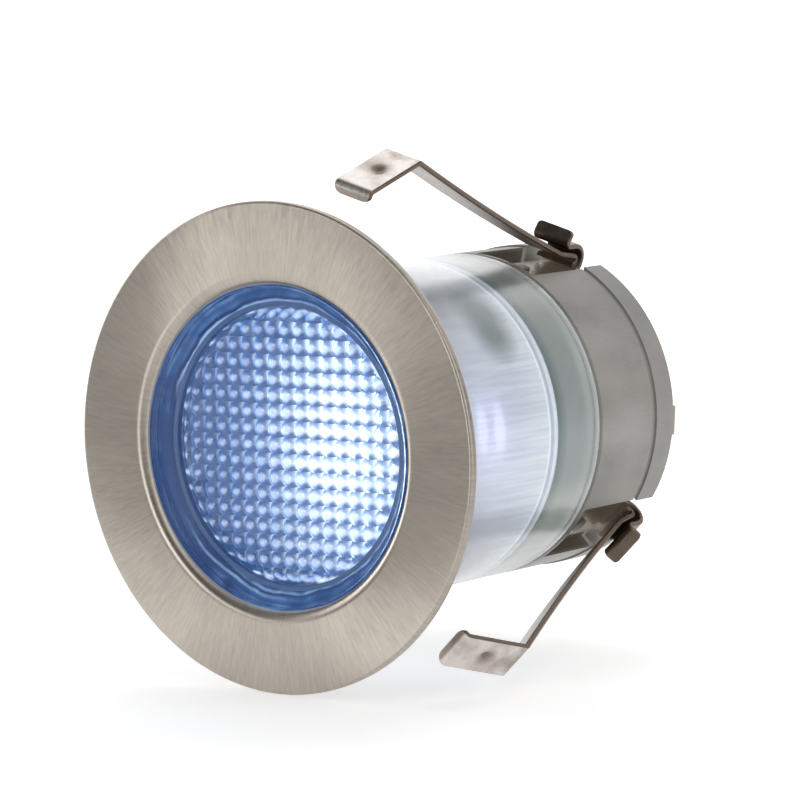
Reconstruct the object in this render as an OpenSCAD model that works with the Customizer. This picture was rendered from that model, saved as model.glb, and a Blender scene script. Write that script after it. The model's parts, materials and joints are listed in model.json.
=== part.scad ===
// Recessed submersible pond light: a stainless face ring on a clear cylindrical body with a
// prismatic lens, a potted LED unit, a frosted rear housing and three sprung steel clips.
// Millimetres. The light shines along -Y and its rear points along +Y, with +Z up.
// The origin is the centre of the ring's back face, which is the face that seats on the wall.
// Each piece is drawn with the light's axis upright (front up, seat at z = 0), then laid over.

/* [Face ring] */
// outside diameter of the face ring
ring_d = 45; // [40:0.5:60]
// thickness of the ring's sheet
ring_t = 0.8; // [0.5:0.1:1.5]
// diameter of the ring's opening
opening_d = 29.8; // [26:0.2:31]
// radius of the rolled inner lip
lip_r = 1.2; // [0.6:0.1:1.6]
// depth of the collar behind the seat face
collar_l = 3.0; // [2:0.5:6]

/* [Body] */
// outside diameter of the clear body
body_d = 31.2; // [28:0.2:34]
// wall of the clear body
body_wall = 1.4; // [1:0.1:2]
// depth from the seat face to the lamp board
board_z = 22.3; // [18:0.1:26]
// depth from the seat face to the end of the clear body
clear_z = 29.3; // [26:0.1:34]
// depth from the seat face to the end cover
cover_z = 38.4; // [34:0.1:44]
// depth from the seat face to the rear rim
rear_z = 42.0; // [38:0.1:48]
// diameter of the rear rim
rim_d = 31.5; // [30:0.1:34]

/* [Lens] */
// diameter of the prismatic lens
lens_d = 25.4; // [22:0.2:27]
// pitch of the prisms in both directions
prism_pitch = 1.5; // [1:0.1:3]
// depth of the grooves between prisms
prism_h = 0.55; // [0.3:0.05:0.8]

/* [Lamps] */
// number of 5 mm lamps on the board
lamp_count = 3; // [3]
// distance of each lamp from the axis
lamp_ring_r = 4.2; // [3.6:0.1:8]

/* [Clips] */
// angle of the first clip, from +X towards +Z
clip_angle = 74; // [0:1:119]
// width of the spring strip
strip_w = 4.2; // [3:0.1:6]
// thickness of the spring strip
strip_t = 0.5; // [0.3:0.05:0.8]
// width of the pocket that each clip sits in
pocket_w = 7.0; // [4.6:0.1:8]
// distance of the clip's elbow from the axis
elbow_r = 27.0; // [24:0.1:32]
// depth of the clip's elbow behind the seat face
elbow_z = 10.3; // [6:0.1:14]

/* [Cable inlet] */
// diameter of the hole for the cable
cable_d = 4.2; // [3:0.1:6]

/* [Hidden] */
$fn = 96;
gap = 0.05;
body_r = body_d / 2;
bore_r = body_r - body_wall;
open_r = opening_d / 2;
lens_r = lens_d / 2;
spigot_r = open_r - gap;          // front of the clear body, inside the ring's collar
window_top = 0.2;                 // outer face of the window, a little below the ring's face
window_t = 1.8;
shoulder_z = -collar_l - 0.3;     // where the clear body steps out under the collar
sleeve_r = bore_r - 0.2;
lens_top = window_top - window_t - 0.3;
lens_base = lens_top - 1.7;
pocket_floor = 13.75;
pivot = [15.5, -cover_z - 0.6];   // [distance from the axis, height] of each clip's fold
fold_r = 1.45;
cover_r = rim_d / 2;
boss_z = rear_z + 1.5;

// lays a piece drawn front-up into the light's frame, so that its front faces -Y
module laid() { rotate([90, 0, 0]) children(); }

// repeats or places something at a clip's angle
module at_clip(i) { rotate([0, 0, clip_angle + 120 * (i - 1)]) children(); }

// a flat ring or washer between two heights
module ring(ro, ri, z0, z1) {
    rotate_extrude() translate([ri, z0]) square([ro - ri, z1 - z0]);
}

// ---- strip shapes: a centre line of [distance, height] points, thickened to an outline ----
function unit(v) = v / norm(v);
function across(v) = [-v[1], v[0]];
function run(p, i) = unit(p[i + 1] - p[i]);
function side(p, i, d) =
    i == 0 ? p[0] + d * across(run(p, 0)) :
    i == len(p) - 1 ? p[i] + d * across(run(p, i - 1)) :
    let (a = across(run(p, i - 1)), m = unit(a + across(run(p, i)))) p[i] + d * m / (m * a);
function strip_outline(p, t) = concat(
    [for (i = [0 : len(p) - 1]) side(p, i, t / 2)],
    [for (i = [len(p) - 1 : -1 : 0]) side(p, i, -t / 2)]);
function curve(a, c, b, n) = [for (i = [0 : n]) let (t = i / n)
    (1 - t) * (1 - t) * a + 2 * t * (1 - t) * c + t * t * b];

// a strip of spring steel that follows a centre line, strip_w wide
module strip(p) {
    rotate([90, 0, 0]) linear_extrude(height = strip_w, center = true)
        polygon(strip_outline(p, strip_t));
}

// ---- face ----
module bezel_ring() {
    color([0.72, 0.68, 0.62]) laid() rotate_extrude() difference() {
        union() {
            translate([open_r, 0]) square([ring_d / 2 - open_r, ring_t]);
            translate([open_r, -collar_l]) square([body_r - open_r, collar_l + ring_t / 2]);
        }
        // rolled inner lip
        difference() {
            translate([open_r - 1, ring_t - lip_r]) square([lip_r + 1, lip_r + 1]);
            translate([open_r + lip_r, ring_t - lip_r]) circle(r = lip_r);
        }
        // eased outer edge
        difference() {
            translate([ring_d / 2 - 0.35, ring_t - 0.35]) square([1, 1]);
            translate([ring_d / 2 - 0.35, ring_t - 0.35]) circle(r = 0.35);
        }
    }
}

// sits between the collar's end and the body's shoulder
module collar_seal() {
    color([0.12, 0.12, 0.13]) laid() ring(body_r - 0.1, open_r + 0.1, shoulder_z + 0.02, -collar_l - 0.02);
}

// one clear moulding: window, spigot inside the ring, and body tube
module clear_housing() {
    color([0.78, 0.84, 0.95, 0.4]) laid() rotate_extrude() difference() {
        union() {
            translate([0, shoulder_z - 1]) square([spigot_r, window_top - shoulder_z + 1]);
            translate([0, -clear_z]) square([body_r, shoulder_z + clear_z]);
        }
        translate([-1, -clear_z - 1]) square([bore_r + 1, clear_z + 1 + shoulder_z]);
        translate([-1, shoulder_z - 1]) square([spigot_r - body_wall + 1, window_top - window_t - shoulder_z + 1]);
        // eased edge of the window
        translate([spigot_r, window_top]) rotate(45) square([0.5, 0.5], center = true);
    }
}

// disc with a square grid of small prisms on its front
module prism_lens() {
    n = ceil(lens_r / prism_pitch);
    w = prism_pitch - 0.16;
    color([0.62, 0.74, 0.95, 0.6]) laid() difference() {
        translate([0, 0, lens_base]) cylinder(r = lens_r, h = lens_top - lens_base);
        for (turn = [0, 90]) rotate([0, 0, turn])
            for (i = [-n : n - 1]) translate([(i + 0.5) * prism_pitch, 0, lens_top])
                rotate([90, 0, 0]) linear_extrude(height = 2 * lens_r + 2, center = true)
                    polygon([[-w / 2 - 0.02, 0.02], [0, -prism_h], [w / 2 + 0.02, 0.02]]);
    }
}

// white sleeve that lines the body and holds the lens at its front
module light_sleeve() {
    color([0.9, 0.93, 1.0]) laid() rotate_extrude() difference() {
        union() {
            translate([0, -board_z + gap]) square([sleeve_r, board_z + shoulder_z - gap - 0.1]);
            translate([0, shoulder_z - 1]) square([spigot_r - body_wall - 0.1, lens_top - shoulder_z + 1]);
        }
        translate([-1, lens_base - gap]) square([lens_r + 0.1 + 1, 10]);
        translate([-1, -board_z - 1]) square([lens_r - 0.7 + 1, board_z + 1]);
        translate([-1, -board_z - 1]) square([sleeve_r - 0.6 + 1, board_z + 1 + lens_base - 0.9]);
    }
}

// ---- light unit ----
module led_board() {
    color([0.10, 0.30, 0.24]) laid() translate([0, 0, -board_z - 1.2]) cylinder(r = bore_r - 0.1, h = 1.2);
}

module lamp(i) {
    color([0.95, 0.97, 1.0, 0.8]) laid() rotate([0, 0, 120 * (i - 1) + 30])
        translate([lamp_ring_r, 0, -board_z + gap]) rotate_extrude() union() {
            square([2.9, 1.0]);
            square([2.5, 6.2]);
            translate([0, 6.2]) intersection() {
                circle(r = 2.5);
                square([3, 3]);
            }
        }
}

module led_1() { lamp(1); }
module led_2() { lamp(2); }
module led_3() { lamp(3); }

// axial resistor lying on the board
module resistor(angle) {
    color([0.35, 0.55, 0.70]) laid() rotate([0, 0, angle]) translate([10.2, 0, -board_z + 1.25])
        rotate([90, 0, 0]) rotate_extrude() union() {
            translate([0, -2.6]) square([1.0, 5.2]);
            translate([0, -3.0]) square([1.2, 1.2]);
            translate([0, 1.8]) square([1.2, 1.2]);
        }
}

module resistor_1() { resistor(90); }
module resistor_2() { resistor(210); }

module rectifier() {
    color([0.08, 0.08, 0.09]) laid() rotate([0, 0, 330]) translate([10.2, 0, -board_z + 1.3])
        cube([2.6, 5.0, 2.5], center = true);
}

// clear resin that fills the body behind the board, with the two terminal posts through it
module potting_block() {
    color([0.60, 0.66, 0.60, 0.7]) laid() difference() {
        translate([0, 0, -clear_z + gap]) cylinder(r = bore_r - gap, h = clear_z - board_z - 1.2 - 2 * gap);
        for (s = [-1, 1]) translate([3 * s, 0, -clear_z - 1]) cylinder(r = 0.65, h = 10, $fn = 32);
    }
}

module terminal_post(s) {
    color([0.80, 0.66, 0.35]) laid() translate([3 * s, 0, -clear_z - 2.8])
        cylinder(r = 0.6, h = clear_z + 2.8 - board_z - 1.2 - gap, $fn = 32);
}

module terminal_post_1() { terminal_post(-1); }
module terminal_post_2() { terminal_post(1); }

// ---- rear ----
module joint_seal() {
    color([0.45, 0.44, 0.40]) laid() ring(body_r - 0.25, 12.6, -clear_z - 0.28, -clear_z - 0.02);
}

// a clip's pocket: open outwards and to the rear
module pocket(z0, z1) {
    translate([pocket_floor, -pocket_w / 2, z0]) cube([6, pocket_w, z1 - z0]);
}

// frosted tube with three pockets, and a stake in each that holds the clip
module rear_housing() {
    top = -clear_z - 0.3;
    color([0.60, 0.58, 0.54]) laid() {
        difference() {
            rotate_extrude() difference() {
                translate([11.8, -cover_z]) square([body_r - 11.8, cover_z + top]);
                translate([body_r, top]) rotate(45) square([0.3, 0.3], center = true);
            }
            for (i = [1 : 3]) at_clip(i) pocket(-cover_z - 1, top - 0.7);
        }
        for (i = [1 : 3]) at_clip(i) translate([pocket_floor - 0.3, 0, -33.4]) rotate([0, 90, 0])
            cylinder(r = 0.8, h = 1.3, $fn = 32);
    }
}

module end_o_ring() {
    color([0.10, 0.10, 0.11]) laid() translate([0, 0, -cover_z + 1.1])
        rotate_extrude() translate([11.2, 0]) circle(r = 0.5, $fn = 32);
}

// end cover: rim with three notches, spigot, three small lugs and the cable boss
module end_cover() {
    lug = [2.2, 2.8, 1.5];
    color([0.66, 0.65, 0.62]) laid() difference() {
        union() {
            rotate_extrude() difference() {
                union() {
                    translate([0, -rear_z]) square([cover_r, rear_z - cover_z - 0.4]);
                    translate([0, -rear_z]) square([cover_r - 0.8, rear_z - cover_z - gap]);
                    translate([9.6, -cover_z - 1]) square([2.1, 3.2]);
                    translate([0, -boss_z]) square([5.2, 3]);
                }
                translate([10.65, -cover_z + 0.5]) square([2, 1.2]);
                translate([cover_r, -rear_z]) rotate(45) square([0.5, 0.5], center = true);
                translate([5.2, -boss_z]) rotate(45) square([0.5, 0.5], center = true);
            }
            for (i = [1 : 3]) at_clip(i) rotate([0, 0, 42])
                translate([13.2, -lug[1] / 2, -rear_z - 0.5]) cube(lug);
        }
        for (i = [1 : 3]) at_clip(i) pocket(-rear_z - 1, -cover_z + 1);
        translate([0, 0, -boss_z - 1]) cylinder(r = cable_d / 2 + 1.15, h = 10);
    }
}

// rubber bush with the cable's hole
module cable_grommet() {
    color([0.10, 0.10, 0.11]) laid() rotate_extrude() union() {
        translate([cable_d / 2, -boss_z - 0.85]) square([1.1, boss_z + 0.85 - cover_z - 0.3]);
        translate([cable_d / 2, -boss_z - 0.85]) square([2.1, 0.8]);
    }
}

// ---- clips ----
// fixed half of a clip: a leg staked in the pocket, a fold at the rear and a short turned-out tab
module clip_anchor(i) {
    p = concat(
        [[pivot[0] - fold_r, -31.4]],
        [for (a = [180 : 18 : 360]) pivot + fold_r * [cos(a), sin(a)]],
        [[pivot[0] + fold_r, pivot[1] + 1.7], [pivot[0] + fold_r + 1.55, pivot[1] + 1.05]]);
    color([0.48, 0.42, 0.36]) laid() at_clip(i) difference() {
        strip(p);
        translate([pocket_floor - 1, 0, -33.4]) rotate([0, 90, 0]) cylinder(r = 0.85, h = 1.5 + 1, $fn = 32);
    }
}

// moving half: a rolled end inside the fold, the sprung arm, the foot and its turned-in lip
module clip_arm(i) {
    root = pivot;
    elbow = [elbow_r, -elbow_z];
    toe = elbow + [-2.5, 6.6];
    lean = atan2(6.6, 2.5);
    arm = curve(root, (root + elbow) / 2 - [0.9, 0.6], elbow - [0.25, 0.55], 10);
    p = concat(arm, [elbow + [-0.05, 0.05], elbow + [-0.25, 0.65], toe, toe + [-0.9, -0.2]]);
    mid = (elbow + toe) / 2;
    color([0.66, 0.60, 0.56]) laid() at_clip(i) difference() {
        union() {
            strip(p);
            translate([root[0], 0, root[1]]) rotate([90, 0, 0])
                cylinder(r = 0.7, h = strip_w, center = true, $fn = 48);
        }
        translate([mid[0], 0, mid[1]]) rotate([0, lean, 0]) translate([0, 0, 0.05]) cylinder(r = 0.9, h = 1, $fn = 32);
    }
}

module clip_1_anchor() { clip_anchor(1); }
module clip_1_arm() { clip_arm(1); }
module clip_2_anchor() { clip_anchor(2); }
module clip_2_arm() { clip_arm(2); }
module clip_3_anchor() { clip_anchor(3); }
module clip_3_arm() { clip_arm(3); }

bezel_ring();
collar_seal();
clear_housing();
prism_lens();
light_sleeve();
led_board();
led_1();
led_2();
led_3();
resistor_1();
resistor_2();
rectifier();
potting_block();
terminal_post_1();
terminal_post_2();
joint_seal();
rear_housing();
end_o_ring();
end_cover();
cable_grommet();
clip_1_anchor();
clip_1_arm();
clip_2_anchor();
clip_2_arm();
clip_3_anchor();
clip_3_arm();
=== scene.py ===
import json
import math
from collections import namedtuple

import bmesh
import bpy
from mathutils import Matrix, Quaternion, Vector


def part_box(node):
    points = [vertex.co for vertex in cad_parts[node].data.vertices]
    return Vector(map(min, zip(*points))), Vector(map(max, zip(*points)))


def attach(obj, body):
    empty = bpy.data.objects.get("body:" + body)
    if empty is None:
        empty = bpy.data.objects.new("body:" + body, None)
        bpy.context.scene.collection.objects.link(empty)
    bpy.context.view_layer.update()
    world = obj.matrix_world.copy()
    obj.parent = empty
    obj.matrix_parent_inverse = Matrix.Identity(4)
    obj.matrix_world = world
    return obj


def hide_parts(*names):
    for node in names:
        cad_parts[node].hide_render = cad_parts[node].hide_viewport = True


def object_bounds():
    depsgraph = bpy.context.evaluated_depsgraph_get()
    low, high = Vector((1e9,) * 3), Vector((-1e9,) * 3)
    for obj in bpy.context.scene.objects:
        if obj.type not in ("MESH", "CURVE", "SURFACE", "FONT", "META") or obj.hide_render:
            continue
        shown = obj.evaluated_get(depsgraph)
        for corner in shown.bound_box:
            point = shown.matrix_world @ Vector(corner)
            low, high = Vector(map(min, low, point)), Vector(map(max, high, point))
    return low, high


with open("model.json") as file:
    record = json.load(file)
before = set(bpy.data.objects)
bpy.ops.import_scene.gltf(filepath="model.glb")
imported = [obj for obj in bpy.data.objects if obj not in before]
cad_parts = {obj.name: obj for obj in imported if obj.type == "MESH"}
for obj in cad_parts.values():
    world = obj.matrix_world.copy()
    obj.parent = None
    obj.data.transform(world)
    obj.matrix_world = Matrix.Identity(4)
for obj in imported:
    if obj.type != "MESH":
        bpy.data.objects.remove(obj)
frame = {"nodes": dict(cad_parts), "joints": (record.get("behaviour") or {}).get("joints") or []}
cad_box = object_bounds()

# The looks of a recessed pond light. Lengths are in millimetres up to the studio's part: r is a
# distance from the light's axis, which is the row's Y axis, and y or depth is a place behind the
# seat face. Directions round the axis are in degrees from +X to +Z.
MM = 0.001
TAU = 2 * math.pi


def span(node):
    """A CAD node's largest distance from the axis, first depth and last depth."""
    low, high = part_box(node)
    return max(high.x, -low.x, high.z, -low.z) / MM, low.y / MM, high.y / MM


RING_R, RING_FRONT, COLLAR_END = span("bezel_ring")
BODY_R, WINDOW_Y, BODY_END = span("clear_housing")
LENS_R, LENS_Y, LENS_BACK = span("prism_lens")
SLEEVE_R, _, SLEEVE_END = span("light_sleeve")
_, BOARD_Y, BOARD_BACK = span("led_board")
REAR_R, _, REAR_END = span("rear_housing")
_, RESIN_Y, _ = span("potting_block")
OPENING_R = BODY_R - 0.7
LENSLET_PITCH = 1.5

# A clip's elbow, toe and dimple as (r, y) points.
ELBOW = Vector((27.0, 10.3))
TOE = ELBOW + Vector((-2.5, -6.6))
DIMPLE = (ELBOW + TOE) / 2
DIMPLE_R, DIMPLE_DEPTH = 1.0, 0.32


def clip_angle(joint):
    """The direction round the axis of a clip's joint."""
    return math.degrees(math.atan2(joint["pos_m"][2], joint["pos_m"][0]))


# ---------------------------------------------------------------- material building

BLACK = (0.0, 0.0, 0.0)

# The range that holds most of a noise's values.
NOISE_LOW, NOISE_HIGH = 0.3, 0.7

# The Mix node's colour sockets.
MIX_SHARE, MIX_A, MIX_B, MIX_RESULT = 0, 6, 7, 2

Place = namedtuple("Place", "x depth z")
Polar = namedtuple("Polar", "east up distance depth")


class Shader:
    """A material's node tree, with short ways to add nodes round its Principled shader."""

    def __init__(self, name, **sockets):
        self.material = bpy.data.materials.new(name)
        self.material.use_nodes = True
        self.tree = self.material.node_tree
        self.principled = self.tree.nodes["Principled BSDF"]
        for socket, value in sockets.items():
            self.set(socket.replace("_", " "), value)

    def feed(self, socket, value):
        """Links a node's output to a socket, or sets the socket's own number or colour."""
        if isinstance(value, bpy.types.NodeSocket):
            self.tree.links.new(value, socket)
        elif isinstance(value, tuple) and len(value) == 3 and socket.type == "RGBA":
            socket.default_value = (*value, 1)
        else:
            socket.default_value = value

    def set(self, socket, value):
        """Feeds one of the Principled shader's sockets."""
        self.feed(self.principled.inputs[socket], value)

    def node(self, kind, inputs=(), **settings):
        made = self.tree.nodes.new(kind)
        for key, value in settings.items():
            setattr(made, key, value)
        for key, value in dict(inputs).items():
            self.feed(made.inputs[key], value)
        return made

    # Places and directions on the object

    def place(self):
        """The shaded point in the row's frame, in mm."""
        where = self.node("ShaderNodeTexCoord").outputs["Object"]
        scaled = self.node("ShaderNodeVectorMath", {0: where, "Scale": 1 / MM}, operation="SCALE")
        split = self.node("ShaderNodeSeparateXYZ", {0: scaled.outputs[0]})
        return Place(split.outputs[0], split.outputs[1], split.outputs[2])

    def polar(self):
        """The shaded point's direction round the axis as two numbers, distance from it and depth."""
        at = self.place()
        distance = self.hypotenuse(at.x, at.z)
        return Polar(self.math("DIVIDE", at.x, distance), self.math("DIVIDE", at.z, distance),
                     distance, at.depth)

    def facing(self, angle, soft):
        """1 towards a direction round the axis, falling to 0 over soft degrees."""
        at = self.polar()
        a = math.radians(angle)
        along = self.plus(self.times(at.east, math.cos(a)), self.times(at.up, math.sin(a)))
        return self.level(along, math.cos(math.radians(soft)), 1.0)

    def spot(self, angle, depth, radius, stretch=1.0, reach=SLEEVE_R):
        """A soft round mark at a distance reach from the axis, stretched along the axis."""
        at = self.place()
        a = math.radians(angle)
        centre = Vector((reach * math.cos(a), depth / stretch, reach * math.sin(a)))
        here = self.vector(at.x, self.math("DIVIDE", at.depth, stretch), at.z)
        return self.fade(self.away(here, centre), 0.0, radius)

    # Noises

    def noise(self, vector, scale, detail, roughness):
        inputs = {"Vector": vector, "Scale": scale, "Detail": detail, "Roughness": roughness}
        return self.node("ShaderNodeTexNoise", inputs).outputs["Fac"]

    def streaks(self, around, along=0.0, across=0.0, detail=3.0, roughness=0.5):
        """Noise with around features per radian round the axis, and along or across per mm."""
        at = self.polar()
        length = self.plus(self.times(at.depth, along), self.times(at.distance, across))
        where = self.vector(self.times(at.east, around), self.times(at.up, around), length)
        return self.noise(where, 1.0, detail, roughness)

    def mottle(self, per_mm, detail=3.0, roughness=0.5):
        """Noise with the same grain in every direction."""
        return self.noise(self.vector(*self.place()), per_mm, detail, roughness)

    def vary(self, noise, low, high):
        """A number that follows a noise from low to high."""
        return self.level(noise, NOISE_LOW, NOISE_HIGH, low, high)

    def two_tone(self, noise, dark, light):
        """A colour that follows a noise from dark to light."""
        return self.ramp(noise, [(NOISE_LOW, dark), (NOISE_HIGH, light)])

    # Numbers

    def math(self, operation, a, b=0.0, clamp=False):
        made = self.node("ShaderNodeMath", {0: a, 1: b}, operation=operation, use_clamp=clamp)
        return made.outputs[0]

    def plus(self, a, b):
        return self.math("ADD", a, b)

    def times(self, a, b):
        return self.math("MULTIPLY", a, b)

    def larger(self, a, b):
        return self.math("MAXIMUM", a, b)

    def hypotenuse(self, a, b):
        return self.math("SQRT", self.plus(self.times(a, a), self.times(b, b)))

    def vector(self, x, y, z):
        return self.node("ShaderNodeCombineXYZ", {0: x, 1: y, 2: z}).outputs[0]

    def away(self, here, there):
        """The distance between two points."""
        made = self.node("ShaderNodeVectorMath", {0: here, 1: there}, operation="DISTANCE")
        return made.outputs["Value"]

    def level(self, value, low, high, to_low=0.0, to_high=1.0):
        """value rescaled so that low..high becomes to_low..to_high, and kept within that."""
        made = self.node("ShaderNodeMapRange", {0: value, 1: low, 2: high, 3: to_low, 4: to_high})
        return made.outputs[0]

    def fade(self, value, start, end):
        """1 up to start, falling to 0 at end."""
        return self.level(value, start, end, 1.0, 0.0)

    def band(self, value, centre, width, soft):
        """1 where value is within half of width of centre, falling to 0 over soft."""
        away = self.math("ABSOLUTE", self.math("SUBTRACT", value, centre))
        return self.fade(away, width / 2, width / 2 + soft)

    # Colours and relief

    def mix(self, share, a, b):
        """Colour a where share is 0, and colour b where it is 1."""
        made = self.node("ShaderNodeMix", data_type="RGBA")
        self.feed(made.inputs[MIX_SHARE], share)
        self.feed(made.inputs[MIX_A], a)
        self.feed(made.inputs[MIX_B], b)
        return made.outputs[MIX_RESULT]

    def ramp(self, value, stops):
        """A colour by value, from (value, colour) stops."""
        made = self.node("ShaderNodeValToRGB", {0: value})
        steps = made.color_ramp.elements
        while len(steps) < len(stops):
            steps.new(1.0)
        for step, (position, colour) in zip(steps, stops):
            step.position = position
            step.color = (*colour, 1)
        return made.outputs[0]

    def bump(self, height, depth, strength):
        inputs = {"Height": height, "Distance": depth * MM, "Strength": strength}
        self.set("Normal", self.node("ShaderNodeBump", inputs).outputs[0])


# ---------------------------------------------------------------- mesh building

# The least angle between faces that shows as an edge, in degrees, on most pieces and on those with
# shallow edges.
SHARP, SHARP_SHALLOW = 35, 30


def smooth(mesh, sharp):
    """Shades a mesh smooth, apart from its edges over sharp degrees."""
    mesh.shade_smooth()
    mesh.set_sharp_from_angle(angle=math.radians(sharp))


def finish_piece(name, bm, materials, body, replaces, sharp=SHARP):
    """Turns a bmesh in mm into a piece that rides on a body."""
    bmesh.ops.recalc_face_normals(bm, faces=bm.faces)
    for vertex in bm.verts:
        vertex.co *= MM
    mesh = bpy.data.meshes.new(name)
    bm.to_mesh(mesh)
    bm.free()
    smooth(mesh, sharp)
    piece = bpy.data.objects.new(name, mesh)
    bpy.context.scene.collection.objects.link(piece)
    for shader in materials:
        mesh.materials.append(shader.material)
    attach(piece, body)
    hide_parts(*replaces)


def rounded(corners, steps):
    """A closed outline from (r, y, fillet) corners, each fillet as an arc of steps parts."""
    points = []
    count = len(corners)
    for i, (r, y, fillet) in enumerate(corners):
        here = Vector((r, y))
        if fillet <= 0:
            points.append(here)
            continue
        before = (Vector(corners[i - 1][:2]) - here).normalized()
        after = (Vector(corners[(i + 1) % count][:2]) - here).normalized()
        half = before.angle(after) / 2
        reach = fillet / math.tan(half)
        start, end = here + before * reach, here + after * reach
        centre = here + (before + after).normalized() * fillet / math.sin(half)
        arm = start - centre
        turn = arm.angle_signed(end - centre)
        for k in range(steps + 1):
            angle = -turn * k / steps
            points.append(centre + Vector((arm.x * math.cos(angle) - arm.y * math.sin(angle),
                                           arm.x * math.sin(angle) + arm.y * math.cos(angle))))
    return points


ON_AXIS = 1e-4


def lathe(outline, segments):
    """A bmesh of a closed outline of (r, y) points turned about the light's axis."""
    bm = bmesh.new()
    rings = []
    for r, y in outline:
        if r < ON_AXIS:
            rings.append([bm.verts.new((0, y, 0))])
            continue
        turns = [TAU * k / segments for k in range(segments)]
        rings.append([bm.verts.new((r * math.cos(a), y, r * math.sin(a))) for a in turns])
    for a, b in zip(rings, rings[1:] + rings[:1]):
        for k in range(segments):
            corner = [a[k % len(a)], a[(k + 1) % len(a)], b[(k + 1) % len(b)], b[k % len(b)]]
            face = list(dict.fromkeys(corner))
            if len(face) > 2:
                bm.faces.new(face)
    return bm


# ---------------------------------------------------------------- materials

def brushed_ring():
    """Satin stainless sheet, brushed outwards from the middle. Its top and bottom are painted
    brighter than its sides, a painted reflection of the light fans on brushed steel, and its inner
    lip has a little painted glow."""
    s = Shader("brushed_ring", Metallic=1.0, Anisotropic=0.85, Emission_Strength=1.0)
    at = s.polar()
    hair = s.streaks(75, across=0.5, detail=4.0, roughness=0.7)
    broad = s.streaks(4, across=0.1, detail=2.0)
    tone = s.plus(s.times(hair, 0.7), s.times(broad, 0.3))
    # Painted reflection: the top and bottom get a lighter base colour than the sides, as brushed
    # steel's light fans.
    painted_fan_share = s.level(s.math("ABSOLUTE", at.up), 0.0, 0.8)
    sides = s.two_tone(tone, (0.29, 0.26, 0.225), (0.45, 0.41, 0.36))
    ends = s.two_tone(tone, (0.38, 0.34, 0.295), (0.57, 0.515, 0.455))
    s.set("Base Color", s.mix(painted_fan_share, sides, ends))
    s.set("Roughness", s.vary(hair, 0.30, 0.44))
    # Painted glow: the inner lip glows a little, as light from the window falling on it.
    lip = s.level(at.distance, OPENING_R + 0.08, OPENING_R + 0.3)
    s.set("Emission Color", s.ramp(lip, [(0.0, (0.22, 0.205, 0.19)), (1.0, BLACK)]))
    s.set("Tangent", s.node("ShaderNodeTangent", direction_type="RADIAL", axis="Y").outputs[0])
    s.bump(hair, 0.006, 0.7)
    return s


def window_plastic():
    """The clear pane in front of the lens, with a low IOR so that it doesn't mirror the studio."""
    s = Shader("window_plastic", Base_Color=(0.95, 0.98, 1.0), Transmission_Weight=1.0, IOR=1.25)
    s.set("Roughness", s.vary(s.mottle(0.4), 0.01, 0.05))
    return s


def tube_plastic():
    """Clear plastic with a satin skin and fine lines along the body, and a faint painted glow at its
    end.
    """
    s = Shader("tube_plastic", Base_Color=(0.96, 0.98, 1.0), Transmission_Weight=1.0, IOR=1.4,
               Emission_Strength=1.0)
    s.set("Roughness", s.vary(s.streaks(30, along=0.10), 0.19, 0.25))
    # Painted glow: the last 1.5 mm of the tube glows faintly, lifting the shade there.
    end_glow_share = s.level(s.place().depth, BODY_END - 1.5, BODY_END)
    s.set("Emission Color", s.ramp(end_glow_share, [(0.0, BLACK), (0.5, (0.055, 0.06, 0.058)),
                                            (1.0, (0.05, 0.052, 0.05))]))
    return s


def lens_plastic():
    """Clear prismatic plastic with painted light. Every lenslet has a painted spark at its middle,
    and round a painted bright patch a little right of the middle the sparks grow together until only
    the corners between the lenslets stay blue."""
    s = Shader("lens_plastic", Base_Color=(0.78, 0.89, 1.0), Transmission_Weight=1.0, IOR=1.49,
               Emission_Strength=1.0)
    s.set("Roughness", s.vary(s.mottle(2.0), 0.0, 0.05))
    at = s.place()
    row = s.math("COSINE", s.times(at.z, TAU / LENSLET_PITCH))
    column = s.math("COSINE", s.times(at.x, TAU / LENSLET_PITCH))
    grid = s.plus(s.times(row, 0.58), s.times(column, 0.42))

    # Painted highlight: a fixed bright patch 5.2 mm right of the middle, painted on the lens rather
    # than refracted from the lamps.
    brightest, flatten = Vector((5.2, LENS_Y, -0.1)), 0.72
    away = s.away(s.vector(at.x, at.depth, s.times(at.z, flatten)), brightest)
    painted_glow_share = s.fade(s.plus(away, s.vary(s.mottle(0.35), -1.5, 1.5)), 3.0, 16.0)
    raised = s.plus(grid, s.level(painted_glow_share, 0.0, 1.0, -0.66, 0.06))
    patchy = s.level(s.mottle(0.7), 0.35, 0.65, 0.5, 1.0)
    spark = s.times(s.level(raised, -0.2, 0.55), s.larger(painted_glow_share, patchy))
    spark_colour = s.mix(painted_glow_share, (0.50, 0.58, 0.72), (0.70, 0.76, 0.82))
    s.set("Emission Color", s.mix(spark, (0.0, 0.005, 0.02), spark_colour))
    return s


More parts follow.
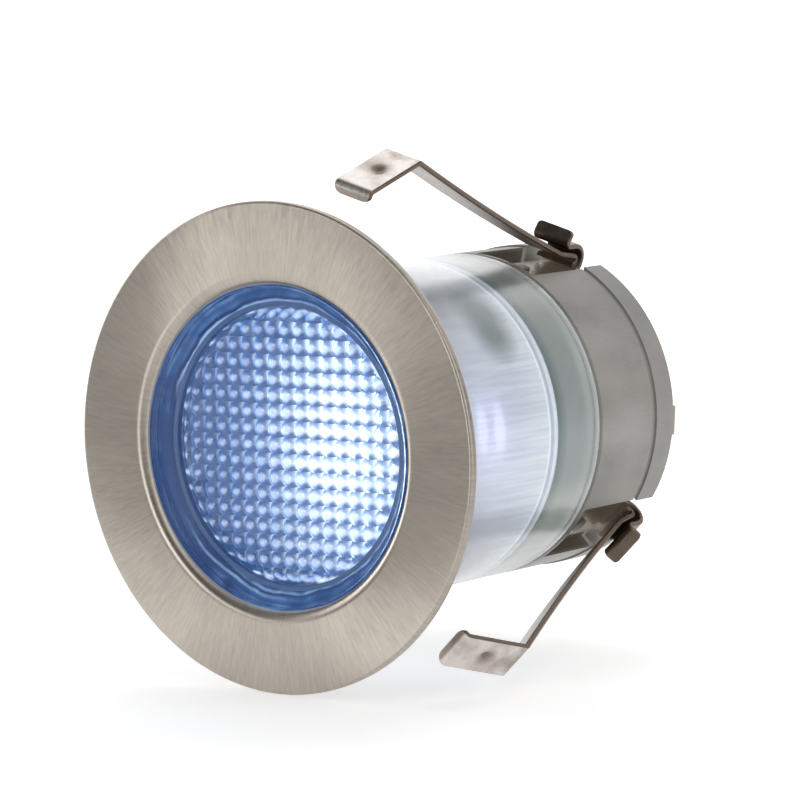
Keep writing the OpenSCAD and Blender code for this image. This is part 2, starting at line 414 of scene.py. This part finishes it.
def window_blue():
    """The clear shell's wall as the window shows it: a painted blue glow, with painted wavy lines of
    caught light and painted shade on its -X side.
    """
    s = Shader("window_blue", Base_Color=(0.005, 0.03, 0.11), Roughness=0.35, Specular_IOR_Level=0.15,
               Emission_Strength=0.9)
    wobble = s.plus(s.polar().distance, s.vary(s.streaks(2.5), -0.3, 0.3))
    across = s.level(wobble, LENS_R, OPENING_R - 0.05)
    tone = s.ramp(across, [(0.0, (0.01, 0.04, 0.13)), (0.18, (0.02, 0.06, 0.18)),
                           (0.30, (0.30, 0.47, 0.74)), (0.38, (0.008, 0.03, 0.11)),
                           (0.55, (0.08, 0.17, 0.37)), (0.75, (0.03, 0.09, 0.25)),
                           (0.90, (0.13, 0.25, 0.48)), (1.0, (0.02, 0.06, 0.18))])
    broken = s.level(s.streaks(7, across=0.6), 0.35, 0.65, 0.25, 1.0)
    shade = s.math("SUBTRACT", broken, s.times(s.facing(200, 55), 0.9), clamp=True)
    tone = s.mix(shade, (0.012, 0.04, 0.135), tone)

    upper_line = s.times(s.band(wobble, LENS_R + 0.55, 0.12, 0.14), s.facing(135, 55))
    lower_side = s.times(s.facing(240, 30), broken)
    lower_line = s.times(s.band(wobble, LENS_R + 1.15, 0.10, 0.14), lower_side)
    tone = s.mix(s.larger(upper_line, lower_line), tone, (0.34, 0.50, 0.76))

    far_side = s.level(s.facing(200, 50), 0.0, 0.5)
    shadow = s.times(s.band(wobble, LENS_R + 0.45, 0.5, 0.45), far_side)
    under_line = s.times(s.band(wobble, LENS_R + 0.9, 0.1, 0.15), s.facing(135, 55))
    tone = s.mix(s.larger(shadow, under_line), tone, (0.006, 0.02, 0.08))
    # Painted glow: the wall shows all of this as emission.
    s.set("Emission Color", tone)
    return s


def sleeve_white():
    """White lining with painted light: a painted blue glow inside, bluish white outside with painted
    shade towards its top, a dark grey-green patch near its top and a painted lilac glow by the lamps."""
    s = Shader("sleeve_white", Roughness=0.4, Emission_Strength=1.0)
    at = s.polar()
    outside = s.larger(s.level(at.distance, SLEEVE_R - 0.25, SLEEVE_R - 0.15),
                       s.level(at.depth, SLEEVE_END - 0.2, SLEEVE_END - 0.1))
    # A dark grey-green patch near the top, in both the colour and the glow.
    dark_patch = s.larger(s.spot(48, 18.4, 3.5), s.times(s.spot(40, 18.0, 3.5), 0.95))

    skin = s.two_tone(s.streaks(45, along=0.10), (0.54, 0.57, 0.63), (0.80, 0.83, 0.89))
    # Painted shade: the top of the outside is greyer.
    skin = s.mix(s.times(s.facing(85, 40), 0.4), skin, (0.36, 0.38, 0.40))
    skin = s.mix(s.level(dark_patch, 0.0, 0.65), skin, (0.13, 0.17, 0.155))
    s.set("Base Color", s.mix(outside, (0.05, 0.09, 0.2), skin))

    # Painted glow: the inside glows blue, brighter towards the board.
    inside = s.ramp(s.level(at.depth, LENS_BACK, BOARD_Y),
                    [(0.0, (0.012, 0.04, 0.10)), (0.45, (0.022, 0.07, 0.17)),
                     (0.8, (0.06, 0.14, 0.30)), (1.0, (0.17, 0.29, 0.5))])
    # Painted glow: brighter on the +X side, pale near the rear end, with a lilac halo and cores by
    # the lamps.
    glow = s.mix(s.facing(-5, 55), (0.025, 0.03, 0.04), (0.20, 0.21, 0.27))
    glow = s.mix(s.level(at.depth, 18.0, SLEEVE_END), glow, (0.26, 0.28, 0.28))
    halo = s.spot(3, 13.3, 4.8, stretch=0.75)
    glow = s.mix(s.level(halo, 0.0, 0.6), glow, (0.27, 0.28, 0.46))
    cores = s.larger(s.spot(4, 14.5, 3.0, stretch=0.4), s.spot(5, 11.9, 3.0, stretch=0.38))
    glow = s.mix(s.level(cores, 0.05, 0.6), glow, (0.46, 0.47, 0.62))
    glow = s.mix(dark_patch, glow, (0.02, 0.03, 0.03))
    s.set("Emission Color", s.mix(outside, inside, glow))
    return s


def lamp_glow():
    """A lit lamp: brightest at its dome."""
    s = Shader("lamp_glow", Base_Color=(0.8, 0.85, 1.0), Roughness=0.3, Emission_Strength=0.9)
    lamp_length = 9
    down = s.level(s.place().depth, BOARD_Y - lamp_length, BOARD_Y)
    s.set("Emission Color", s.ramp(down, [(0.0, (1.0, 1.0, 1.0)), (1.0, (0.3, 0.42, 0.7))]))
    return s


def board_green():
    """Circuit board with painted light: a painted glow of the lamps' light in front, a pale rim
    painted as light caught in its edge, and dim behind with a painted glow along its back edge.
    """
    s = Shader("board_green", Roughness=0.4, Emission_Strength=1.0)
    at = s.polar()
    # Painted highlight: the rim is painted pale, with a brighter band towards the back, as light
    # caught in the board's edge.
    rim = s.ramp(s.level(at.depth, BOARD_Y, BOARD_BACK),
                 [(0.0, (0.62, 0.66, 0.72)), (0.45, (0.55, 0.60, 0.64)),
                  (0.6, (0.85, 0.90, 0.95)), (0.85, (0.85, 0.90, 0.95))])
    s.set("Base Color", s.mix(s.vary(s.mottle(0.5), 0.0, 0.15), rim, (0.3, 0.4, 0.42)))
    # Painted glow: the lamps' light on the front, brightest near the middle and pale at the edge, and
    # a faint glow along the back edge on the +X side.
    lit = s.ramp(s.level(at.distance, 5.0, 15.0),
                 [(0.0, (0.20, 0.31, 0.56)), (0.78, (0.06, 0.13, 0.30)),
                  (0.84, (0.06, 0.13, 0.30)), (0.88, (0.50, 0.52, 0.56))])
    back_edge_glow = s.times(s.band(at.depth, BOARD_BACK - 0.4, 0.3, 0.25), s.facing(5, 75))
    behind = s.ramp(back_edge_glow, [(0.0, (0.10, 0.11, 0.13)), (1.0, (0.24, 0.27, 0.31))])
    s.set("Emission Color", s.mix(s.level(at.depth, BOARD_Y, BOARD_Y + 0.05), lit, behind))
    return s


def cloudy_resin():
    """Milky resin, dark where it meets the board, with a faint painted glow by the clips."""
    s = Shader("cloudy_resin", Roughness=0.3, Emission_Strength=1.0)
    cloud = s.two_tone(s.streaks(2.0, along=0.12), (0.30, 0.34, 0.315), (0.41, 0.44, 0.41))
    by_board = s.level(s.place().depth, RESIN_Y, RESIN_Y + 1.6)
    s.set("Base Color", s.mix(by_board, (0.08, 0.15, 0.14), cloud))
    # Painted glow: faint light on the resin by two of the clips, lifting the shade there.
    painted_glow_and_shade_by_clips = s.larger(s.facing(-42, 22), s.times(s.facing(80, 30), 0.3))
    s.set("Emission Color", s.mix(painted_glow_and_shade_by_clips, (0.012, 0.013, 0.012), (0.16, 0.165, 0.15)))
    return s


def frosted(name, dark, light, pocket_r=0.0):
    """Frosted moulding, a little glossy, with painted shade: browner by the clips, and darker inside
    pocket_r where their pockets are. It has a little painted glow in its groove and a fainter one on
    its pocket floors."""
    s = Shader(name, Coat_Weight=0.2, Coat_Roughness=0.3, Emission_Strength=1.0)
    at = s.polar()
    fine = s.streaks(50, along=1.0)
    tone = s.plus(s.times(s.streaks(2.5, along=0.08, detail=2.0), 0.8), s.times(fine, 0.2))
    skin = s.ramp(tone, [(0.35, dark), (0.65, light)])
    skin = s.mix(s.level(s.mottle(0.15), 0.45, 0.75, 0.0, 0.6), skin, (0.33, 0.295, 0.275))
    # Painted shade: the skin turns darker brown towards each clip.
    painted_glow_and_shade_by_clips = 0.0
    for joint in frame["joints"]:
        painted_glow_and_shade_by_clips = s.larger(s.facing(clip_angle(joint), 28), painted_glow_and_shade_by_clips)
    skin = s.mix(s.times(painted_glow_and_shade_by_clips, 0.75), skin, (0.19, 0.172, 0.155))
    # Painted shade: inside pocket_r, in the pockets, the colour is near black.
    outside = s.level(at.distance, pocket_r - 0.3, pocket_r)
    s.set("Base Color", s.mix(outside, (0.035, 0.028, 0.022), skin))
    s.set("Roughness", s.vary(fine, 0.40, 0.52))
    s.bump(fine, 0.01, 0.25)

    # Painted glow: a little light in the groove, and fainter light on the pocket floors.
    recess = s.fade(at.distance, REAR_R - 0.12, REAR_R - 0.02)
    groove = s.times(recess, s.band(at.depth, REAR_END + 0.2, 0.5, 0.1))
    pocket_light = s.mix(recess, BLACK, (0.035, 0.030, 0.022))
    s.set("Emission Color", s.mix(groove, pocket_light, (0.12, 0.118, 0.11)))
    return s


def spring_steel():
    """Hardened strip with painted reflections: painted bright at the foot, browner along the arm and
    dark at the fold. It has a brown mark in each dimple, and a little painted light on it inside the
    pockets."""
    s = Shader("strip_steel", Metallic=1.0, Emission_Strength=1.0)
    at = s.polar()
    stain = s.mottle(0.25, detail=4.0, roughness=0.6)
    along = s.plus(at.depth, s.vary(stain, -2.5, 2.5))
    # Painted reflection: the base colour runs from bright at the foot, which mirrors the floor, to
    # dark at the fold.
    colour = s.ramp(s.level(along, 0.0, 42.0),
                    [(0.0, (0.70, 0.66, 0.62)), (0.22, (0.66, 0.61, 0.58)),
                     (0.3, (0.40, 0.36, 0.33)), (0.7, (0.34, 0.30, 0.265)),
                     (0.9, (0.13, 0.10, 0.075))])
    colour = s.mix(s.level(stain, 0.5, 0.8, 0.0, 0.7), colour, (0.24, 0.19, 0.15))
    dimples = 0.0
    for joint in frame["joints"]:
        mark = s.spot(clip_angle(joint), DIMPLE.y, 1.3, reach=DIMPLE.x)
        dimples = s.larger(mark, dimples)
    brown = s.level(dimples, 0.0, 0.8, 0.0, 0.75)
    s.set("Base Color", s.mix(brown, colour, (0.11, 0.075, 0.05)))
    grain = s.mottle(5.0)
    s.set("Roughness", s.vary(grain, 0.26, 0.40))
    s.bump(grain, 0.006, 0.4)
    # Painted glow: a little light on the strip inside the pockets.
    out_of_pocket = s.level(at.distance, 14.8, 15.8)
    s.set("Emission Color", s.ramp(out_of_pocket, [(0.0, (0.05, 0.042, 0.032)), (1.0, BLACK)]))
    return s


def plain(name, colour, roughness, metallic=0.0):
    """A simple finish with a slight mottle."""
    s = Shader(name, Metallic=metallic)
    mottle = s.mottle(1.5)
    darker = tuple(0.8 * c for c in colour)
    s.set("Base Color", s.two_tone(mottle, darker, colour))
    s.set("Roughness", s.vary(mottle, roughness * 0.85, roughness * 1.1))
    return s


# ---------------------------------------------------------------- front pieces

def face_ring(shader):
    """The face ring: flat brushed face, rolled inner lip, eased edge and collar."""
    lip = 1.2
    corners = [(RING_R, RING_FRONT, 0.3), (RING_R, 0.0, 0.12), (BODY_R, 0.0, 0.1),
               (BODY_R, COLLAR_END, 0.1), (OPENING_R, COLLAR_END, 0.1),
               (OPENING_R, RING_FRONT, lip)]
    bm = lathe(rounded(corners, 8), 256)
    finish_piece("face_ring", bm, [shader], "light", ["bezel_ring"])


def window(shader, pane_r, pane_back):
    """The clear pane in front of the lens."""
    corners = [(0, WINDOW_Y, 0), (pane_r, WINDOW_Y, 0.1), (pane_r, pane_back, 0.1),
               (0, pane_back, 0)]
    bm = lathe(rounded(corners, 5), 160)
    finish_piece("window", bm, [shader], "light", ["clear_housing"])


def window_wall(shader, pane_r, pane_back, window_r, wall_end):
    """The wall round the lens as seen through the pane, with a thin collar round the pane."""
    wall_inner, collar_inner, collar_front = LENS_R + 0.06, pane_r + 0.02, WINDOW_Y + 0.05
    corners = [(wall_inner, LENS_Y + 0.15, 0.05), (pane_r - 0.4, pane_back + 0.12, 0.25),
               (collar_inner, pane_back + 0.06, 0.02), (collar_inner, collar_front, 0.02),
               (window_r, collar_front, 0.04), (window_r, wall_end, 0.05),
               (wall_inner, wall_end, 0.05)]
    bm = lathe(rounded(corners, 5), 160)
    finish_piece("window_wall", bm, [shader], "light", ["clear_housing"])


def front_tube(shader, shoulder):
    """The clear tube from the ring's collar to the rear housing."""
    inner = SLEEVE_R + 0.2
    corners = [(BODY_R, shoulder, 0.15), (BODY_R, BODY_END, 0.06), (inner, BODY_END, 0.05),
               (inner, shoulder, 0.1)]
    bm = lathe(rounded(corners, 4), 192)
    finish_piece("front_tube", bm, [shader], "light", ["clear_housing"])


def front_shell(pane, wall, tube):
    """The clear shell: its window, its side wall as seen behind the window, and its tube."""
    window_r, pane_back = OPENING_R - 0.03, 1.4
    pane_r = window_r - 0.12
    shoulder = COLLAR_END + 0.3
    window(pane, pane_r, pane_back)
    window_wall(wall, pane_r, pane_back, window_r, shoulder - 0.1)
    front_tube(tube, shoulder)


LENSLET_R, LENSLET_STEPS = 1.12, 6
DEEPEST_SAG, RIM_SAG = 0.7, 0.6
RIM_WIDTH, RIM_BLEND = 0.9, 0.6


def lens_sag(x, z):
    """How far the lens's front lies behind its highest points: pillows, and a flat rim."""
    u = (x / LENSLET_PITCH - round(x / LENSLET_PITCH)) * LENSLET_PITCH
    v = (z / LENSLET_PITCH - round(z / LENSLET_PITCH)) * LENSLET_PITCH
    pillow = LENSLET_R - math.sqrt(max(LENSLET_R ** 2 - u * u - v * v, 0.0001))
    sag = min(pillow, DEEPEST_SAG)
    rim = min(max((math.hypot(x, z) - LENS_R + RIM_WIDTH) / RIM_BLEND, 0.0), 1.0)
    return sag + (RIM_SAG - sag) * rim


def lens(shader):
    """The prismatic lens: a disc whose front is a square grid of small pillows."""
    step = LENSLET_PITCH / LENSLET_STEPS
    reach = math.ceil(LENS_R / LENSLET_PITCH) * LENSLET_STEPS
    bm = bmesh.new()
    front = {}
    for i in range(-reach, reach + 1):
        for j in range(-reach, reach + 1):
            x, z = i * step, j * step
            sag, away = lens_sag(x, z), math.hypot(x, z)
            if away > LENS_R + step * 1.5:
                continue
            if away > LENS_R:
                x, z = x * LENS_R / away, z * LENS_R / away
            front[i, j] = bm.verts.new((x, LENS_Y + sag, z))
    for i in range(-reach, reach):
        for j in range(-reach, reach):
            cell = [front.get(k) for k in ((i, j), (i + 1, j), (i + 1, j + 1), (i, j + 1))]
            if None not in cell and min(math.hypot(v.co.x, v.co.z) for v in cell) < LENS_R - 0.01:
                bm.faces.new(cell)

    edge = [e for e in bm.edges if e.is_boundary]
    side = bmesh.ops.extrude_edge_only(bm, edges=edge)["geom"]
    for vertex in [v for v in side if isinstance(v, bmesh.types.BMVert)]:
        vertex.co.y = LENS_BACK
    rim = [e for e in side if isinstance(e, bmesh.types.BMEdge) and e.is_boundary]
    bmesh.ops.contextual_create(bm, geom=rim)
    for vertex in [v for v in bm.verts if not v.link_faces]:
        bm.verts.remove(vertex)
    finish_piece("prismatic_lens", bm, [shader], "light", ["prism_lens"],
                 sharp=SHARP_SHALLOW)


# ---------------------------------------------------------------- clips

STRIP_W, STRIP_T, STRIP_EDGE = 4.2, 0.5, 0.1
FACE_STEPS = 14
SPACING, END_SPACING = 0.35, 0.12
FOLD_R, LEG_START = 1.45, 31.4
ROLL_R, ROLL_START, ROLL_TURN = 0.45, 150, 195
CURVE_STEPS = 12


def spaced(path, fine_ends):
    """Points along path, SPACING apart, or END_SPACING within fine_ends of either end."""
    total = sum((b - a).length for a, b in zip(path, path[1:]))
    points, gone = [path[0]], 0.0
    for a, b in zip(path, path[1:]):
        length = (b - a).length
        near_end = gone < fine_ends or gone + length > total - fine_ends
        count = max(1, math.ceil(length / (END_SPACING if near_end else SPACING)))
        points += [a.lerp(b, k / count) for k in range(1, count + 1)]
        gone += length
    return points


def section(half):
    """The strip's cross-section as (sideways, outwards) points, with eased edges."""
    flat, face, side = half - STRIP_EDGE, STRIP_T / 2, STRIP_T / 2 - STRIP_EDGE
    across = [flat * (2 * k / FACE_STEPS - 1) for k in range(FACE_STEPS + 1)]
    outer = [(u, face) for u in across]
    inner = [(u, -face) for u in reversed(across)]
    return outer + [(half, side), (half, -side)] + inner + [(-half, -side), (-half, side)]


def strip(path, angle, dimple=None, round_start=0.0, round_end=0.0):
    """A bmesh of a bent strip whose centre line is path, (r, y) points in the plane at angle. Its
    corners are rounded at each end, dimple is a (r, y) point, and its cut sides get material 1."""
    points = spaced(path, max(round_start, round_end))
    gone = [0.0]
    for a, b in zip(points, points[1:]):
        gone.append(gone[-1] + (b - a).length)
    turn = math.radians(angle)
    outward = Vector((math.cos(turn), 0, math.sin(turn)))
    sideways = Vector((-outward.z, 0, outward.x))
    bm = bmesh.new()
    rows = []
    for i, point in enumerate(points):
        run = (points[min(i + 1, len(points) - 1)] - points[max(i - 1, 0)]).normalized()
        normal = Vector((-run.y, run.x))
        half = STRIP_W / 2
        for radius, away in ((round_start, gone[i]), (round_end, gone[-1] - gone[i])):
            if away < radius:
                half -= radius - math.sqrt(radius ** 2 - (radius - away) ** 2)
        row = []
        for u, push in section(half):
            if dimple is not None:
                reach = math.hypot(u, (point - dimple).length) / DIMPLE_R
                push -= DIMPLE_DEPTH * max(0.0, 1 - reach ** 2) ** 2
            spot = point + normal * push
            row.append(bm.verts.new(outward * spot.x + Vector((0, spot.y, 0)) + sideways * u))
        rows.append(row)
    size = len(rows[0])
    cut_sides = (FACE_STEPS, FACE_STEPS + 1, FACE_STEPS + 2, size - 3, size - 2, size - 1)
    for a, b in zip(rows, rows[1:]):
        for k in range(size):
            face = bm.faces.new((a[k], a[(k + 1) % size], b[(k + 1) % size], b[k]))
            face.material_index = 1 if k in cut_sides else 0
    for row in (rows[0], rows[-1]):
        bm.faces.new(row).material_index = 1
    return bm


def anchor_path(pivot):
    """A clip's fixed end: the leg in its pocket, the fold round the pivot and the turned-out tail."""
    leg_r, tail_r, fold_y = pivot.x - FOLD_R, pivot.x + FOLD_R, pivot.y + FOLD_R
    corners = [(leg_r, LEG_START, 0), (leg_r, fold_y, FOLD_R), (tail_r, fold_y, FOLD_R),
               (tail_r, pivot.y - 1.7, 0.45), (tail_r + 1.55, pivot.y - 1.05, 0)]
    return rounded(corners, 12)


def arm_path(pivot):
    """A clip's moving end: the rolled end in the fold, the bowed arm, the elbow, foot and lip."""
    roll_angles = [math.radians(ROLL_START + ROLL_TURN * k / CURVE_STEPS)
                   for k in range(CURVE_STEPS + 1)]
    roll = [pivot + Vector((ROLL_R * math.cos(a), -ROLL_R * math.sin(a))) for a in roll_angles]
    middle = (pivot + ELBOW) / 2 + Vector((-0.9, 0.6))
    knee = ELBOW + Vector((-0.25, 0.55))
    bow = [pivot * (1 - t) ** 2 + middle * 2 * t * (1 - t) + knee * t * t
           for t in [k / CURVE_STEPS for k in range(1, CURVE_STEPS + 1)]]
    lip = TOE + Vector((-0.9, 0.2))
    bends = [(roll + bow, 0), ([ELBOW], 0.45), ([TOE], 0.4), ([lip], 0)]
    return rounded([(p.x, p.y, fillet) for points, fillet in bends for p in points], 5)


def clips(steel, cut):
    """The three clips, each as a leg fixed to the light and a spring on its own body."""
    for joint in frame["joints"]:
        number = joint["child"][-1]
        x, pivot_y, z = (value / MM for value in joint["pos_m"])
        pivot = Vector((math.hypot(x, z), pivot_y))
        angle = clip_angle(joint)
        bm = strip(anchor_path(pivot), angle, round_start=0.5, round_end=0.4)
        finish_piece(f"clip_{number}_leg", bm, [steel, cut], "light",
                     [f"clip_{number}_anchor"])
        bm = strip(arm_path(pivot), angle, dimple=DIMPLE, round_end=0.7)
        finish_piece(f"clip_{number}_spring", bm, [steel, cut], f"clip_{number}",
                     [f"clip_{number}_arm"])


# ---------------------------------------------------------------- putting it together

def node_finishes():
    """The finish of each CAD node that is shown as it is."""
    dark_rubber = (0.02, 0.02, 0.022)
    resistor = plain("resistor_blue", (0.10, 0.30, 0.42), 0.35)
    post = plain("post_brass", (0.80, 0.58, 0.25), 0.25, 1.0)
    lamp = lamp_glow()
    return {
        "light_sleeve": sleeve_white(),
        "led_board": board_green(),
        "led_1": lamp,
        "led_2": lamp,
        "led_3": lamp,
        "potting_block": cloudy_resin(),
        "joint_seal": plain("sealant", (0.52, 0.52, 0.49), 0.6),
        "rear_housing": frosted("frosted_rear", (0.175, 0.172, 0.158), (0.30, 0.295, 0.275),
                                REAR_R - 0.05),
        "end_cover": frosted("frosted_cover", (0.19, 0.188, 0.175), (0.29, 0.287, 0.272)),
        "cable_grommet": plain("grommet_rubber", dark_rubber, 0.7),
        "collar_seal": plain("seal_rubber", dark_rubber, 0.6),
        "end_o_ring": plain("o_ring_rubber", dark_rubber, 0.5),
        "rectifier": plain("rectifier_black", (0.02, 0.02, 0.02), 0.5),
        "resistor_1": resistor,
        "resistor_2": resistor,
        "terminal_post_1": post,
        "terminal_post_2": post,
    }


face_ring(brushed_ring())
front_shell(window_plastic(), window_blue(), tube_plastic())
lens(lens_plastic())
clips(spring_steel(), plain("cut_steel", (0.16, 0.12, 0.095), 0.35, 1.0))

for node, finish in node_finishes().items():
    mesh = frame["nodes"][node].data
    mesh.materials.clear()
    mesh.materials.append(finish.material)
    smooth(mesh, SHARP_SHALLOW)


# ---------------------------------------------------------------- floor, lights and camera

# The studio's lengths are in metres, apart from those in its paper's material. A direction is an
# azimuth from the light's front (-Y) towards +X, and an elevation, both in degrees.
CAMERA_AZIMUTH, CAMERA_ELEVATION, CAMERA_ROLL = 38.75, 6.8, -1.3
CAMERA_DISTANCE = 0.377
SENSOR_WIDTH, LENS_LENGTH = 36, 187

SWEEP_SIDE, SWEEP_FRONT, SWEEP_TOP = 2.5, -2.0, 2.0
BEND_START, BEND_R, BEND_STEPS = 0.5, 0.3, 10


def from_angles(azimuth, elevation):
    """The unit vector towards a direction."""
    a, e = math.radians(azimuth), math.radians(elevation)
    return Vector((math.sin(a) * math.cos(e), -math.cos(a) * math.cos(e), math.sin(e)))


def studio_paper():
    """Pale paper, a little brighter far away, so that it runs into the white behind it."""
    s = Shader("studio_paper", Roughness=0.8, Emission_Strength=1.0)
    at = s.place()
    away = s.hypotenuse(at.x, at.depth)
    far = s.larger(s.level(at.depth, 250, 800), s.level(away, 900, 1500))
    s.set("Emission Color", s.ramp(far, [(0.0, (0.42, 0.42, 0.42)), (1.0, (0.70, 0.70, 0.70))]))
    s.set("Base Color", s.two_tone(s.mottle(0.01), (0.86, 0.86, 0.86), (0.90, 0.90, 0.90)))
    return s


def stage_sweep():
    """A pale floor that curves up into a backdrop behind the light."""
    low = cad_box[0].z
    profile = [(SWEEP_FRONT, 0.0), (BEND_START, 0.0)]
    for k in range(1, BEND_STEPS + 1):
        a = math.radians(90 * k / BEND_STEPS)
        profile.append((BEND_START + BEND_R * math.sin(a), BEND_R - BEND_R * math.cos(a)))
    profile.append((BEND_START + BEND_R, SWEEP_TOP))
    bm = bmesh.new()
    rows = [[bm.verts.new((x, y, low + z)) for x in (-SWEEP_SIDE, SWEEP_SIDE)] for y, z in profile]
    for a, b in zip(rows, rows[1:]):
        bm.faces.new((a[0], a[1], b[1], b[0]))
    mesh = bpy.data.meshes.new("studio_sweep")
    bm.to_mesh(mesh)
    bm.free()
    mesh.shade_smooth()
    mesh.materials.append(studio_paper().material)
    sweep = bpy.data.objects.new("studio_sweep", mesh)
    sweep.rotation_euler.z = math.radians(CAMERA_AZIMUTH)
    bpy.context.scene.collection.objects.link(sweep)


def area_light(name, azimuth, elevation, distance, size, power):
    """A soft round light of a power in watts, aimed at the origin."""
    data = bpy.data.lights.new(name, "AREA")
    data.shape, data.size, data.energy = "DISK", size, power
    light = bpy.data.objects.new(name, data)
    light.location = from_angles(azimuth, elevation) * distance
    light.rotation_mode = "QUATERNION"
    light.rotation_quaternion = (-light.location).to_track_quat("-Z", "Y")
    bpy.context.scene.collection.objects.link(light)


def studio_world():
    """A world that looks white from the camera, and lights the scene as a dim grey one."""
    world = bpy.data.worlds.new("studio")
    bpy.context.scene.world = world
    world.use_nodes = True
    nodes, links = world.node_tree.nodes, world.node_tree.links
    mix = nodes.new("ShaderNodeMix")
    mix.data_type = "RGBA"
    mix.inputs[MIX_A].default_value = (0.11, 0.109, 0.107, 1)
    mix.inputs[MIX_B].default_value = (1, 1, 1, 1)
    path = nodes.new("ShaderNodeLightPath")
    links.new(path.outputs["Is Camera Ray"], mix.inputs[MIX_SHARE])
    links.new(mix.outputs[MIX_RESULT], nodes["Background"].inputs["Color"])


def photo_camera():
    """The camera at the photograph's viewing angle, aimed at the middle of the CAD box."""
    data = bpy.data.cameras.new("camera")
    data.sensor_width = SENSOR_WIDTH
    data.lens = LENS_LENGTH
    data.clip_start, data.clip_end = 0.01, 20
    camera = bpy.data.objects.new("camera", data)
    camera.location = from_angles(CAMERA_AZIMUTH, CAMERA_ELEVATION) * CAMERA_DISTANCE
    aim = (cad_box[0] + cad_box[1]) / 2
    look = (aim - camera.location).to_track_quat("-Z", "Y")
    camera.rotation_mode = "QUATERNION"
    camera.rotation_quaternion = look @ Quaternion((0, 0, 1), math.radians(CAMERA_ROLL))
    bpy.context.scene.collection.objects.link(camera)
    bpy.context.scene.camera = camera


stage_sweep()
area_light("left_softbox", -82, 9, 0.8, 0.4, 1.75)
area_light("right_softbox", -2, 12, 0.9, 0.4, 2.0)
area_light("overhead_panel", 200, 68, 0.9, 0.9, 1.2)
area_light("lip_light", 66, 40, 0.8, 0.6, 1.1)
area_light("side_softbox", 100, 18, 0.9, 0.8, 2.4)
studio_world()
photo_camera()
bpy.context.scene.view_settings.view_transform = "Standard"
